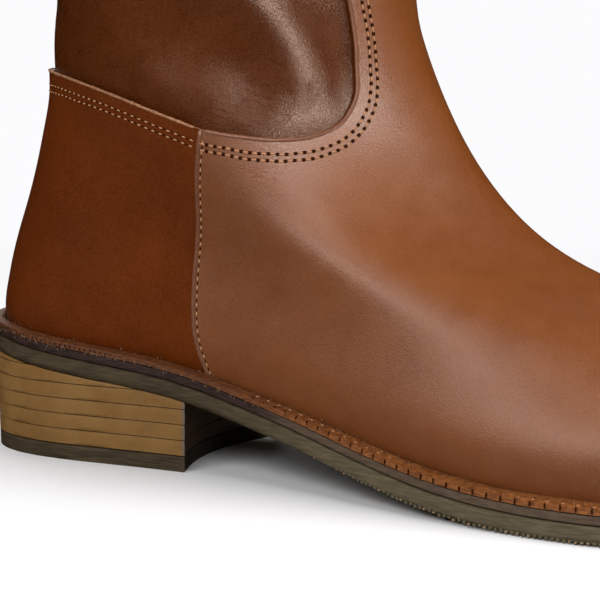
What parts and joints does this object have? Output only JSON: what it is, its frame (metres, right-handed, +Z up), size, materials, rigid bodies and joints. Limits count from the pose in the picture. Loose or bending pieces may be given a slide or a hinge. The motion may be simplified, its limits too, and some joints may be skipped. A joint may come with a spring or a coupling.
{
  "type": "knee-high boot",
  "caption": "Knee-high leather boot with a round toe, a low stacked heel, a sewn welt and overlays round the heel and over the foot.",
  "frame": {"origin": "on the floor, in the middle of the heel's bottom face", "axes": "+X along the sole towards the toe, +Y towards the inner side of the foot, +Z up; the outer side is -Y"},
  "size_m": [0.275, 0.111, 0.41],
  "materials": {
    "shaft_leather": "smooth, soft sheen",
    "vamp_leather": "smooth, polished",
    "counter_leather": "smooth, soft sheen",
    "lining_leather": "matte lining",
    "welt_leather": "raw cut edge",
    "midsole_board": "dyed edge",
    "sole_rubber": "matte",
    "lift_board": "stacked board, waxed edge"
  },
  "bodies": {
    "root": {"upper": "shaft_leather", "vamp": "vamp_leather", "counter": "counter_leather", "welt": "welt_leather", "midsole": "midsole_board", "outsole": "sole_rubber", "insole": "lining_leather", "top_lift": "sole_rubber", "heel_lift_1": "lift_board", "heel_lift_2": "lift_board", "heel_lift_3": "lift_board", "heel_lift_4": "lift_board", "heel_lift_5": "lift_board", "heel_lift_6": "lift_board"}
  },
  "joints": []
}
